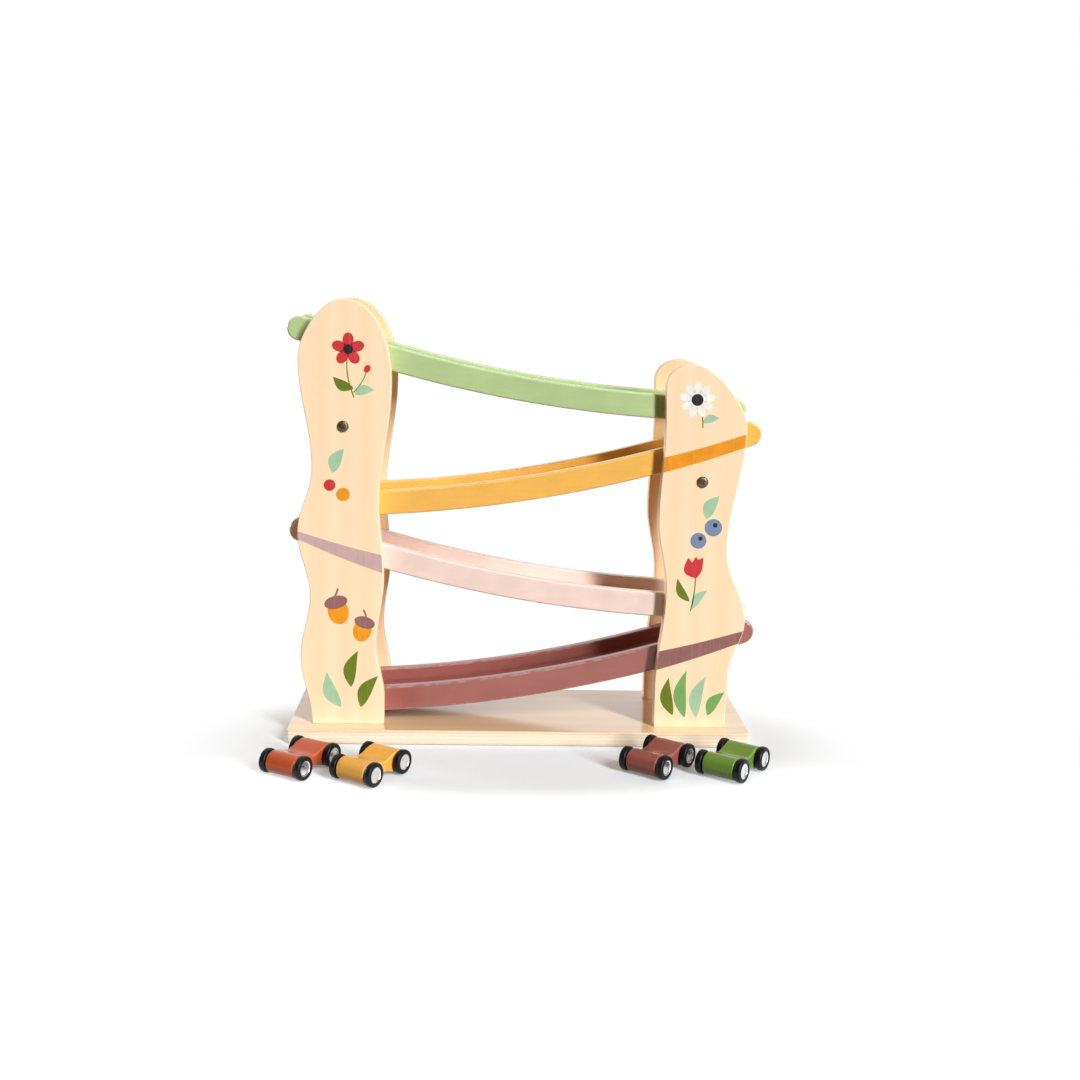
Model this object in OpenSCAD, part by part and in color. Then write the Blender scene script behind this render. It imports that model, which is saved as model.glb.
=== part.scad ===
// Click clack track toy: two wavy wooden towers on a board, four curved zigzag tracks, four small cars.
// Millimetres. X runs to the right, Y to the back, Z up; the origin is the middle of the board's underside.

/* [Base board] */
// Width of the base board
base_w = 380; // [340:1:440]
// Depth of the base board
base_d = 120; // [108:1:160]
// Thickness of the base board
base_t = 12; // [9:0.5:18]
// Board left outside the foot of each tower
base_margin = 19; // [8:1:30]

/* [Towers] */
// Width of a panel at its foot
foot_w = 59; // [50:1:75]
// Thickness of a panel
panel_t = 11; // [8:0.5:16]
// Height of the left crown above the top track
left_crown = 26.5; // [14:0.5:40]
// Height of the right crown above the top track
right_crown = 27; // [14:0.5:40]
// Top of the left crown, outside the tower's centre line
left_crown_line = 7.5; // [-6:0.5:14]
// Top of the right crown, inside the tower's centre line
right_crown_line = 3; // [-6:0.5:12]
// Swing of a full wave in the panels' edges
wave_swing = 10; // [4:0.5:11]
// Wood left between a dowel's end and the panel's outer face
panel_cover = 4; // [2:0.5:5]

/* [Tracks] */
// Width of a track over both rails
track_w = 66; // [58:1:76]
// Radius of the curve along the top of the rails
track_r = 1065; // [900:5:1300]
// Where the curve is lowest, outside the tower's centre line
track_low = 33.5; // [20:0.5:45]
// Gap between the base board and the lowest track
track_clear = 6.2; // [3:0.1:20]
// Least gap between one track's low end and the track under it
track_gap = 2.5; // [1:0.1:12]
// Thickness of a rail
rail_t = 9.5; // [8:0.5:13]
// Height of a rail
rail_h = 20; // [17:0.5:28]
// Depth of the floor below the top of the rails
floor_drop = 10; // [8:0.5:12]
// Thickness of the floor strip
floor_t = 4; // [2.5:0.5:5]
// Depth of the groove that houses the floor strip
floor_groove = 2.5; // [1.5:0.5:3.5]
// Length of the gap that a car falls through, before the low stop
drop_gap = 62; // [56:1:70]
// Length of a stop block along the track
stop_l = 8; // [5:0.5:12]
// Height left between a stop block and each edge of the rails
stop_inset = 3; // [2:0.5:5]
// High end of the green track's round centre, outside the tower's centre line
green_reach = 42.5; // [36:0.5:52]
// Low end of the green track's round centre, outside the tower's centre line
green_tail = 31.5; // [24:0.5:38]
// High end of the yellow track's round centre, outside the tower's centre line
yellow_reach = 45; // [36:0.5:52]
// Low end of the yellow track's round centre, outside the tower's centre line
yellow_tail = 25.5; // [20:0.5:38]
// High end of the pink track's round centre, outside the tower's centre line
pink_reach = 40.5; // [36:0.5:52]
// Low end of the pink track's round centre, outside the tower's centre line
pink_tail = 36.5; // [24:0.5:38]
// High end of the burgundy track's round centre, outside the tower's centre line
burgundy_reach = 43.5; // [36:0.5:52]
// Low end of the burgundy track's round centre, outside the tower's centre line
burgundy_tail = 16.5; // [14:0.5:22]

/* [Joinery] */
// Line of dowels, spacers and panel screws, outside the tower's centre line
dowel_line = 5.5; // [2:0.5:8]
// Diameter of a track dowel
dowel_d = 6; // [4:0.5:8]
// Wood left between a dowel's end and the floor groove
rail_cover = 2; // [1:0.5:3]
// Diameter of a spacer bar
spacer_d = 14; // [11:0.5:18]
// Height of the left spacer bar's axis below the top track's underside
left_spacer_drop = 56; // [30:1:70]
// Height of the right spacer bar's axis below the third track's underside
right_spacer_drop = 15; // [13:0.5:40]
// Diameter of a panel screw's head
panel_screw_head_d = 9.5; // [7.5:0.1:12]
// Height of a panel screw's head
panel_screw_head_h = 1.8; // [1.4:0.1:3]
// Reach of a panel screw into the spacer bar
panel_screw_bite = 14; // [8:1:24]
// Diameter of every screw's shank
screw_d = 4; // [3:0.1:5]
// Diameter of a base screw's countersunk head
base_screw_head_d = 8; // [7:0.1:10]
// Reach of a base screw into the panel
base_screw_bite = 20; // [12:1:30]
// Distance between the two base screws of a panel
base_screw_gap = 30; // [20:1:38]
// Clearance all round a glued or screwed joint
joint_clear = 0.05; // [0.02:0.01:0.1]

/* [Cars] */
// Distance between a car's axles
wheel_base = 35.5; // [30:0.5:42]
// Distance between the middles of the left and right tyres
wheel_track = 33.6; // [31:0.1:38]
// Diameter of a tyre
tyre_d = 18.6; // [16:0.1:20]
// Width of a tyre
tyre_w = 5.6; // [4:0.1:7]
// Radius of a tyre's shoulders
tyre_shoulder = 1.6; // [0.8:0.1:1.9]
// Diameter of a hub disc
hub_d = 12.4; // [10:0.1:13]
// Depth of a hub disc's face below the tyre's side
hub_recess = 0.5; // [0.2:0.1:1]
// Diameter of an axle
axle_d = 3; // [2:0.1:4]
// Radial clearance of an axle in the body
axle_clear = 0.08; // [0.03:0.01:0.1]
// Gap between a tyre and the side of the body
tyre_gap = 0.7; // [0.4:0.1:1.5]
// Diameter of the body's round ends
body_end_d = 17.2; // [13:0.1:17.8]
// Thickness of the body's waist
body_waist = 8.6; // [7:0.1:12]
// Terracotta car: middle along the board
terracotta_x = -170.5; // [-185:0.5:-165]
// Terracotta car: middle in front of the board
terracotta_ahead = 59.5; // [48:0.5:64]
// Terracotta car: angle of its axis to the board's front
terracotta_turn = 59; // [50:0.5:64]
// Yellow car: middle along the board
yellow_x = -115; // [-124:0.5:-106]
// Yellow car: middle in front of the board
yellow_ahead = 72; // [60:0.5:76]
// Yellow car: angle of its axis to the board's front
yellow_turn = 56.5; // [48:0.5:62]
// Burgundy car: middle along the board
burgundy_x = 107.5; // [96:0.5:114]
// Burgundy car: middle in front of the board
burgundy_ahead = 49.5; // [40:0.5:52]
// Burgundy car: angle of its axis to the board's front
burgundy_turn = 52.5; // [48:0.5:60]
// Green car: middle along the board
green_x = 165.5; // [162:0.5:180]
// Green car: middle in front of the board
green_ahead = 55.5; // [44:0.5:60]
// Green car: angle of its axis to the board's front
green_turn = 53; // [48:0.5:60]

/* [Hidden] */
$fn = 48;
// Names, from the lowest track to the top, and the side of each track's low end
TRACKS = ["burgundy_track", "pink_track", "yellow_track", "green_track"];
LOW_SIDE = [-1, 1, -1, 1];
TRACK_COLOURS = ["#a9655f", "#f1d8cf", "#f6bd5d", "#b8cf95"];
CARS = ["terracotta_car", "yellow_car", "burgundy_car", "green_car"];
CAR_COLOURS = ["#c0572f", "#e8af4e", "#96574f", "#6e9136"];
CAR_ENDS = ["front", "rear"];
wood = "#fcdeb8";
ply = "#faebdc";
bronze = "#4a3a2c";
steel = "#b9bcc0";
black = "#1b1b1c";
TOWERS = [-1, 1];

// Places of the towers
tower_x = base_w / 2 - base_margin - foot_w / 2;
dowel_x = tower_x + dowel_line;
screw_line = track_w / 2 + panel_t / 2;

// Courses of the tracks
low_x = tower_x + track_low;
reach = [for (r = [burgundy_reach, pink_reach, yellow_reach, green_reach]) tower_x + r];
tail = [for (t = [burgundy_tail, pink_tail, yellow_tail, green_tail]) tower_x + t];
mid_r = track_r + rail_h / 2;
function rise(x) = track_r - sqrt(track_r * track_r - pow(low_x + x, 2));
track_pitch = rail_h + rise(max(tail[1], tail[2], tail[3])) + track_gap;
function rail_top(n) = base_t + track_clear + rail_h + n * track_pitch;
function high_angle(n) = asin((low_x + reach[n]) / mid_r);
function low_angle(n) = asin((low_x - tail[n]) / mid_r);
function along(length) = length / mid_r * 180 / PI;
// Point of track n at angle a of its curve and radius r from the curve's centre, as [x, z]
function on_track(n, a, r) =
    [LOW_SIDE[n] * (low_x - r * sin(a)), rail_top(n) + track_r - r * cos(a)];
function angle_at(n, x, r) = asin((low_x - LOW_SIDE[n] * x) / r);
function height_at(n, x, r) = on_track(n, angle_at(n, x, r), r)[1];

// Heights of the towers, from the crown over the top track, and of the spacer bars
tower_top = [
    height_at(3, -dowel_x, track_r) + left_crown - base_t,
    height_at(3, dowel_x, track_r) + right_crown - base_t
];
spacer_z = [
    height_at(3, -dowel_x, track_r + rail_h) - left_spacer_drop,
    height_at(2, dowel_x, track_r + rail_h) - right_spacer_drop
];

// Waves of the panels' edges: share of the tower's height, and reach beyond the foot in full swings
OUTER_WAVE = [
    [[0, 0], [0.163, 0.97], [0.306, 0.22], [0.457, 1.27], [0.608, 0.12], [0.863, 1.28]],
    [[0, 0], [0.15, 0.18], [0.295, 1.43], [0.495, -0.23], [0.83, 1.15]]
];
INNER_WAVE = [
    [[0, 0], [0.055, 0], [0.19, -0.68], [0.349, -0.12], [0.52, -0.56], [0.806, 0.4]],
    [[0, 0], [0.1, 0], [0.383, -0.76], [0.574, 0], [0.822, -0.4], [0.936, -0.34]]
];
// Top of each crown, outside the tower's centre line
crown_line = [left_crown_line, -right_crown_line];
// Fullness of each crown's outer and inner shoulder, where 0 is straight and 0.55 is nearly an ellipse
CROWN_FULL = [[0.42, 0.6], [0.36, 0.6]];
wave_steps = 8;
crown_steps = 14;

// Sizes of the joinery
panel_bite = panel_t - panel_cover;
rail_bite = rail_t - floor_groove - rail_cover;
end_clear = 0.2;
slot_w = 1.3;
slot_l = 5.2;
slot_deep = 1;
sink_h = 2.4;
screw_flush = 0.3;

// Sizes of the cars
wheel_r = tyre_d / 2;
body_w = wheel_track - tyre_w - 2 * tyre_gap;
hub_t = tyre_w - 2 * hub_recess;
axle_l = wheel_track + hub_t / 2;
car_x = [terracotta_x, yellow_x, burgundy_x, green_x];
car_ahead = [terracotta_ahead, yellow_ahead, burgundy_ahead, green_ahead];
car_turn = [terracotta_turn, yellow_turn, burgundy_turn, green_turn];

// Shape of the parts

// Plate in the XZ plane, t thick, with its front face at y
module upright(y, t) {
    translate([0, y + t, 0]) rotate([90, 0, 0]) linear_extrude(t) children();
}

// Rod along Y from y0 to y1 at x and z
module rod(x, z, y0, y1, d) {
    translate([x, y1, z]) rotate([90, 0, 0]) cylinder(h = y1 - y0, d = d);
}

function ease(t) = (1 - cos(180 * t)) / 2;
function wave(stations, sign, h) = [
    for (i = [0:len(stations) - 2]) for (j = [0:wave_steps - 1])
        let (t = j / wave_steps, a = stations[i], b = stations[i + 1])
        [sign * (foot_w / 2 + wave_swing * (a[1] + (b[1] - a[1]) * ease(t))), h * (a[0] + (b[0] - a[0]) * t)]
];
// Shoulder from the top of a panel's wavy edge, where it is upright, to the level top of the crown
function shoulder_line(from, apex, full) = [
    for (j = [0:crown_steps - 1])
        let (t = j / crown_steps, u = 1 - t,
            above = [from[0], from[1] + full * (apex[1] - from[1])],
            beside = [apex[0] + full * (from[0] - apex[0]), apex[1]])
        u * u * u * from + 3 * u * u * t * above + 3 * u * t * t * beside + t * t * t * apex
];
function last_of(stations, sign, h) =
    let (s = stations[len(stations) - 1]) [sign * (foot_w / 2 + wave_swing * s[1]), h * s[0]];
function flip(points) = [for (i = [len(points) - 1:-1:0]) points[i]];

// Outline of a tower's panels, as [distance outside the tower's centre line, height above the board]
function panel_outline(k) =
    let (h = tower_top[k], apex = [crown_line[k], h])
    concat(
        wave(OUTER_WAVE[k], 1, h),
        shoulder_line(last_of(OUTER_WAVE[k], 1, h), apex, CROWN_FULL[k][0]),
        [apex],
        flip(shoulder_line(last_of(INNER_WAVE[k], -1, h), apex, CROWN_FULL[k][1])),
        flip(wave(INNER_WAVE[k], -1, h))
    );

module panel(k, y) {
    side = TOWERS[k];
    inner = y < 0 ? y + panel_t : y;
    deep = y < 0 ? -panel_bite : panel_bite;
    color(wood) difference() {
        upright(y, panel_t)
            polygon([for (p = panel_outline(k)) [side * (tower_x + p[0]), base_t + p[1]]]);
        for (n = [0:3])
            rod(side * dowel_x, height_at(n, side * dowel_x, mid_r),
                min(inner, inner + deep), max(inner, inner + deep), dowel_d + 2 * joint_clear);
        rod(side * dowel_x, spacer_z[k], y - 1, y + panel_t + 1, screw_d + 2 * joint_clear);
        for (s = TOWERS)
            translate([side * tower_x + s * base_screw_gap / 2, y + panel_t / 2, base_t - 1])
                cylinder(h = base_screw_bite + 1 + end_clear, d = screw_d + 2 * joint_clear);
    }
}
module left_front_panel() { panel(0, -track_w / 2 - panel_t); }
module left_back_panel() { panel(0, track_w / 2); }
module right_front_panel() { panel(1, -track_w / 2 - panel_t); }
module right_back_panel() { panel(1, track_w / 2); }

module base_screw_places() {
    for (side = TOWERS, back = TOWERS, s = TOWERS)
        translate([side * tower_x + s * base_screw_gap / 2, back * screw_line, 0]) children();
}

module base_board() {
    color(ply) difference() {
        translate([-base_w / 2, -base_d / 2, 0]) cube([base_w, base_d, base_t]);
        base_screw_places() {
            translate([0, 0, -1]) cylinder(h = base_t + 2, d = screw_d + 2 * joint_clear);
            translate([0, 0, -1]) cylinder(h = 1 + screw_flush, d = base_screw_head_d + 2 * joint_clear);
            translate([0, 0, screw_flush]) cylinder(h = sink_h, d1 = base_screw_head_d + 2 * joint_clear,
                d2 = screw_d + 2 * joint_clear);
        }
    }
}

module base_screws() {
    color(bronze) base_screw_places() difference() {
        union() {
            translate([0, 0, screw_flush]) cylinder(h = sink_h, d1 = base_screw_head_d, d2 = screw_d);
            translate([0, 0, screw_flush]) cylinder(h = base_t - screw_flush + base_screw_bite, d = screw_d);
        }
        for (a = [0, 90]) rotate(a)
            translate([-slot_l / 2, -slot_w / 2, 0]) cube([slot_l, slot_w, screw_flush + slot_deep]);
    }
}

// Band between two radii of a track's curve and two angles
curve_steps = 40;
function arc(n, r, a0, a1, steps) = [for (i = [0:steps]) on_track(n, a0 + (a1 - a0) * i / steps, r)];
module band(n, r0, r1, a0, a1, steps = curve_steps) {
    polygon(concat(arc(n, r0, a0, a1, steps), arc(n, r1, a1, a0, steps)));
}

// Half circle that rounds a rail's end, on the side of the curve that way (1 high, -1 low) points to
cap_steps = 16;
function cap(n, a, way) =
    let (m = on_track(n, a, mid_r), up = [LOW_SIDE[n] * sin(a), cos(a)], out = [-LOW_SIDE[n] * cos(a), sin(a)])
    [for (i = [1:cap_steps - 1]) let (t = 180 * i / cap_steps)
        m + rail_h / 2 * way * (cos(t) * up + sin(t) * out)];
module rail_outline(n) {
    polygon(concat(
        arc(n, track_r, low_angle(n), high_angle(n), curve_steps),
        cap(n, high_angle(n), 1),
        arc(n, track_r + rail_h, high_angle(n), low_angle(n), curve_steps),
        cap(n, low_angle(n), -1)
    ));
}

// The floor strip ends short of the low stop where the track has one, so that a car can fall
function floor_start(n) = low_angle(n) + (n == 0 ? 0 : along(stop_l + drop_gap));
function floor_end(n) = high_angle(n) - along(stop_l);
module floor_band(n, room) {
    band(n, track_r + floor_drop - room, track_r + floor_drop + floor_t + room,
        floor_start(n) - along(room), floor_end(n) + along(room));
}

module rail(n, back) {
    y = back ? track_w / 2 - rail_t : -track_w / 2;
    groove_y = back ? y - 1 : y + rail_t - floor_groove;
    outer = back ? y + rail_t : y;
    color(TRACK_COLOURS[n]) difference() {
        upright(y, rail_t) rail_outline(n);
        upright(groove_y, floor_groove + 1) floor_band(n, joint_clear);
        for (side = TOWERS)
            rod(side * dowel_x, height_at(n, side * dowel_x, mid_r), back ? outer - rail_bite : outer,
                back ? outer : outer + rail_bite, dowel_d + 2 * joint_clear);
    }
}

module track_floor(n) {
    w = track_w - 2 * (rail_t - floor_groove) - 2 * joint_clear;
    color(TRACK_COLOURS[n]) upright(-w / 2, w) floor_band(n, 0);
}

module stop_block(n, a0) {
    w = track_w - 2 * rail_t;
    color(TRACK_COLOURS[n]) upright(-w / 2, w)
        band(n, track_r + stop_inset, track_r + rail_h - stop_inset, a0, a0 + along(stop_l), 4);
}
module high_stop(n) { stop_block(n, floor_end(n)); }
module low_stop(n) { stop_block(n, low_angle(n)); }

module track_dowels() {
    color(wood) for (n = [0:3], side = TOWERS, back = TOWERS) {
        face = back * track_w / 2;
        inside = face - back * (rail_bite - end_clear);
        outside = face + back * (panel_bite - end_clear);
        rod(side * dowel_x, height_at(n, side * dowel_x, mid_r),
            min(inside, outside), max(inside, outside), dowel_d);
    }
}

module spacer(k) {
    side = TOWERS[k];
    color(wood) difference() {
        rod(side * dowel_x, spacer_z[k], -track_w / 2, track_w / 2, spacer_d);
        for (back = TOWERS)
            rod(side * dowel_x, spacer_z[k],
                back < 0 ? -track_w / 2 - 1 : track_w / 2 - panel_screw_bite - end_clear,
                back < 0 ? -track_w / 2 + panel_screw_bite + end_clear : track_w / 2 + 1,
                screw_d + 2 * joint_clear);
    }
}
module left_spacer() { spacer(0); }
module right_spacer() { spacer(1); }

// A panel screw along +Y, with the underside of its head at the origin
module panel_screw() {
    difference() {
        union() {
            rod(0, 0, -panel_screw_head_h, 0, panel_screw_head_d);
            rod(0, 0, -0.5, panel_t + panel_screw_bite, screw_d);
        }
        for (a = [45, 135]) rotate([0, a, 0])
            translate([-slot_l / 2, -panel_screw_head_h - 1, -slot_w / 2])
                cube([slot_l, slot_deep + 1, slot_w]);
    }
}
module panel_screws() {
    color(bronze) for (k = [0, 1], back = TOWERS)
        translate([TOWERS[k] * dowel_x, back * (track_w / 2 + panel_t), spacer_z[k]])
            rotate([0, 0, back < 0 ? 0 : 180]) panel_screw();
}

// Cars: each is made about its own middle, heading along +X, and then set down in front of the board
module car_place(i) {
    translate([car_x[i], -base_d / 2 - car_ahead[i], 0]) rotate([0, 0, 180 + car_turn[i]]) children();
}
body_steps = 16;
function body_edge(way) = [
    for (j = [0:body_steps]) let (x = way * wheel_base * (j / body_steps - 0.5))
        [x, wheel_r + way * (body_waist / 2 + (body_end_d - body_waist) / 4 * (1 - cos(360 * x / wheel_base)))]
];
function body_cap(way) = [
    for (j = [1:body_steps - 1]) let (t = 90 - 180 * j / body_steps)
        [way * (wheel_base / 2 + body_end_d / 2 * cos(t)), wheel_r + way * body_end_d / 2 * sin(t)]
];
module car_body(i) {
    color(CAR_COLOURS[i]) car_place(i) difference() {
        upright(-body_w / 2, body_w)
            polygon(concat(body_edge(1), body_cap(1), body_edge(-1), body_cap(-1)));
        for (s = TOWERS)
            rod(s * wheel_base / 2, wheel_r, -body_w / 2 - 1, body_w / 2 + 1, axle_d + 2 * axle_clear);
    }
}

// Parts of one wheel pair, e is 0 for the front axle and 1 for the rear
function axle_x(e) = (e == 0 ? 1 : -1) * wheel_base / 2;
module car_axle(i, e) {
    color(steel) car_place(i) rod(axle_x(e), wheel_r, -axle_l / 2, axle_l / 2, axle_d);
}
// Half section of a tyre: radius against width, with round shoulders
shoulder_steps = 6;
function shoulder(way) = [
    for (j = [0:shoulder_steps]) let (t = way > 0 ? 90 - 90 * j / shoulder_steps : -90 * j / shoulder_steps)
        [wheel_r - tyre_shoulder + tyre_shoulder * cos(t),
         way * (tyre_w / 2 - tyre_shoulder) + tyre_shoulder * sin(t)]
];
module tyre() {
    rotate([90, 0, 0]) rotate_extrude()
        polygon(concat([[hub_d / 2 + joint_clear, -tyre_w / 2], [hub_d / 2 + joint_clear, tyre_w / 2]],
            shoulder(1), shoulder(-1)));
}
module car_tyres(i, e) {
    color(black) car_place(i) for (s = TOWERS)
        translate([axle_x(e), s * wheel_track / 2, wheel_r]) tyre();
}
module car_hubs(i, e) {
    color(steel) car_place(i) for (s = TOWERS) difference() {
        rod(axle_x(e), wheel_r, s * wheel_track / 2 - hub_t / 2, s * wheel_track / 2 + hub_t / 2, hub_d);
        rod(axle_x(e), wheel_r, -axle_l / 2 - joint_clear, axle_l / 2 + joint_clear, axle_d + 2 * joint_clear);
    }
}

base_board();
left_front_panel();
left_back_panel();
right_front_panel();
right_back_panel();
for (n = [0:3]) {
    rail(n, false);
    rail(n, true);
    track_floor(n);
    high_stop(n);
}
for (n = [1:3]) {
    low_stop(n);
}
left_spacer();
right_spacer();
panel_screws();
base_screws();
track_dowels();
for (i = [0:3]) {
    car_body(i);
    for (e = [0, 1]) {
        car_axle(i, e);
        car_tyres(i, e);
        car_hubs(i, e);
    }
}
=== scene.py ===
"""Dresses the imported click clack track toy: wood, paint, prints, wheels, screws, light and camera."""

import math

import bmesh
import bpy
from mathutils import Matrix, Vector


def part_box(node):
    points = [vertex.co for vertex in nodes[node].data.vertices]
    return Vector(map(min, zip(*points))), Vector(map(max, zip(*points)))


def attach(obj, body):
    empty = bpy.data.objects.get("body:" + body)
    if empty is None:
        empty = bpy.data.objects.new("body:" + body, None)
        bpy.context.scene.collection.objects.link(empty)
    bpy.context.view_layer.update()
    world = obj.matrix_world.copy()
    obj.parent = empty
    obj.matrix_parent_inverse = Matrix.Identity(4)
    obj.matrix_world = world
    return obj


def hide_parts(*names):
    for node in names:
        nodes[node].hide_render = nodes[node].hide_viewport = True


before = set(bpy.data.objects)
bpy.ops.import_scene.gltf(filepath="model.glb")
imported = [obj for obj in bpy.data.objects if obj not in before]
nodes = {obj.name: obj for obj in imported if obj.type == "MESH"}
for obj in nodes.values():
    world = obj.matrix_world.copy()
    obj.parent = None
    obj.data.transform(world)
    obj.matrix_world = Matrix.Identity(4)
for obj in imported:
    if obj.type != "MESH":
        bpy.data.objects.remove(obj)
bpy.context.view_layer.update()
MM = 0.001

# Sizes of the solids, in millimetres

JOINT_CLEAR = 0.05
BASE_W = 380.0
BASE_D = 120.0
BASE_T = 12.0
BASE_MARGIN = 19.0
FOOT_W = 59.0
PANEL_T = 11.0
TOWER_X = BASE_W / 2 - BASE_MARGIN - FOOT_W / 2
DOWEL_LINE = 5.5
DOWEL_X = TOWER_X + DOWEL_LINE
SPACER_R = 7.0
SPACER_CHAMFER = 0.6
TRACK_W = 66.0
TRACK_R = 1065.0
TRACK_LOW = 33.5
LOW_X = TOWER_X + TRACK_LOW
RAIL_T = 9.5
RAIL_H = 20.0
MID_R = TRACK_R + RAIL_H / 2
TRACK_CLEAR = 6.2
TRACK_GAP = 2.5
FLOOR_DROP = 10.0
FLOOR_T = 4.0
FLOOR_GROOVE = 2.5
FLOOR_W = TRACK_W - 2 * (RAIL_T - FLOOR_GROOVE) - 2 * JOINT_CLEAR
CHANNEL_W = TRACK_W - 2 * RAIL_T
DROP_GAP = 62.0
STOP_L = 8.0
STOP_INSET = 3.0
WHEEL_BASE = 35.5
WHEEL_TRACK = 33.6
WHEEL_R = 9.3
TYRE_W = 5.6
TYRE_SHOULDER = 1.55
TREAD_CROWN = 0.05
TREAD_FLAT = 0.6
HUB_R = 6.2
HUB_T = 4.6
AXLE_HOLE_R = 1.58
BODY_W = 26.6
BODY_END_D = 17.2
BODY_WAIST = 8.6

# Tracks from the lowest up: the side of the low end, and the reach of the high and the low end

TRACKS = ["burgundy_track", "pink_track", "yellow_track", "green_track"]
LOW_SIDE = [-1, 1, -1, 1]
REACH = [TOWER_X + r for r in (43.5, 40.5, 45.0, 42.5)]
TAIL = [TOWER_X + t for t in (16.5, 36.5, 25.5, 31.5)]

# Towers, left and right: stations of the waves as shares of the height and of the swing, and the crowns

SIDES = ("left", "right")
WAYS = (-1, 1)
WAVE_SWING = 10.0
OUTER_WAVE = [
    [(0, 0), (0.163, 0.97), (0.306, 0.22), (0.457, 1.27), (0.608, 0.12), (0.863, 1.28)],
    [(0, 0), (0.15, 0.18), (0.295, 1.43), (0.495, -0.23), (0.83, 1.15)],
]
INNER_WAVE = [
    [(0, 0), (0.055, 0), (0.19, -0.68), (0.349, -0.12), (0.52, -0.56), (0.806, 0.4)],
    [(0, 0), (0.1, 0), (0.383, -0.76), (0.574, 0), (0.822, -0.4), (0.936, -0.34)],
]
CROWN_LINE = [7.5, -3.0]
CROWN_FULL = [(0.42, 0.6), (0.36, 0.6)]
HEIGHTS = [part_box(side + "_front_panel")[1][2] / MM - BASE_T for side in SIDES]
SPACER_Z = [sum(p[2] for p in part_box(side + "_spacer")) / 2 / MM for side in SIDES]

# Cars: place along X, distance ahead of the board, and turn in degrees

CARS = {
    "terracotta_car": (-170.5, 59.5, 59.0),
    "yellow_car": (-115.0, 72.0, 56.5),
    "burgundy_car": (107.5, 49.5, 52.5),
    "green_car": (165.5, 55.5, 53.0),
}

# Roundings of the edges, in millimetres

PANEL_ROUND = 0.8
FOOT_ROUND = 0.25
RAIL_ROUND = 1.7
FLOOR_ROUND = 0.5
STOP_ROUND = 0.9
BASE_ROUND = 1.3
BASE_CORNER = 2.5
CAR_ROUND = 1.4

# Materials

ALONG_X, ALONG_Y, ALONG_Z = 0, 1, 2
EVEN = (1.0, 1.0, 1.0)
WOOD_SHEEN = 0.3
PAINT_SHEEN = 0.06
RUBBER_SHEEN = 0.25
TRACK_IOR = 1.5
CAR_IOR = 1.32
LACQUER_IOR = 2.4
PAINT_COAT_ROUGH = 0.16
BASE_COAT_ROUGH = 0.12
TRACK_GLOSS = 0.4
CAR_GLOSS = 0.34
BROAD_GRAIN = 42.0
RING_GRAIN = 15.0
FIBRE_GRAIN = 900.0
BROAD_SHARE = 0.55
RING_SHARE = 0.22
FIBRE_SHARE = 0.3
FIBRE_DEPTH = 0.0002


def colour(red, green, blue):
    """Linear colour from the eight-bit values that a screen shows."""
    out = []
    for v in (red, green, blue):
        c = v / 255
        out.append(c / 12.92 if c <= 0.04045 else ((c + 0.055) / 1.055) ** 2.4)
    return (*out, 1.0)


def shade(rgb, factor):
    """The eight-bit colour rgb made lighter or darker by a factor."""
    return tuple(min(255, v * factor) for v in rgb)


class Nodes:
    """Short calls to add nodes to the node tree of a material or a world."""

    def __init__(self, owner):
        owner.use_nodes = True
        self.tree = owner.node_tree
        self.tree.nodes.clear()

    def node(self, kind, **settings):
        made = self.tree.nodes.new(kind)
        for name, value in settings.items():
            setattr(made, name, value)
        return made

    def filled(self, kind, **inputs):
        """A node with its inputs set by name, where _ stands for a space."""
        made = self.node(kind)
        for name, value in inputs.items():
            made.inputs[name.replace("_", " ")].default_value = value
        return made

    def join(self, source, target):
        self.tree.links.new(source, target)

    def feed(self, target, value):
        """Links an input to an output, or sets it to a plain value."""
        if isinstance(value, bpy.types.NodeSocket):
            self.join(value, target)
        else:
            target.default_value = value

    def maths(self, kind, first, second):
        made = self.node("ShaderNodeMath", operation=kind)
        self.feed(made.inputs[0], first)
        self.feed(made.inputs[1], second)
        return made.outputs[0]

    def mix(self, factor, first, second):
        made = self.node("ShaderNodeMix", data_type="RGBA")
        self.feed(made.inputs[0], factor)
        self.feed(made.inputs[6], first)
        self.feed(made.inputs[7], second)
        return made.outputs[2]

    def span(self, value, start, end, low, high, smooth=False):
        """A number that runs from low to high as value runs from start to end."""
        made = self.filled("ShaderNodeMapRange", From_Min=start, From_Max=end, To_Min=low, To_Max=high)
        made.interpolation_type = "SMOOTHSTEP" if smooth else "LINEAR"
        self.join(value, made.inputs["Value"])
        return made.outputs[0]

    def axes(self, vector):
        """The X, Y and Z of a vector."""
        made = self.node("ShaderNodeSeparateXYZ")
        self.join(vector, made.inputs[0])
        return made.outputs

    def spot(self):
        """Coordinates that move with the piece, in metres."""
        return self.node("ShaderNodeTexCoord").outputs["Object"]

    def seen(self, mirrored):
        """1 for rays from the camera or through glass, a share for mirrored ones, 0 for other light."""
        path = self.node("ShaderNodeLightPath")
        direct = self.maths("MAXIMUM", path.outputs["Is Camera Ray"], path.outputs["Is Transmission Ray"])
        glossy = self.maths("MULTIPLY", path.outputs["Is Glossy Ray"], mirrored)
        return self.maths("MAXIMUM", direct, glossy)


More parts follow.
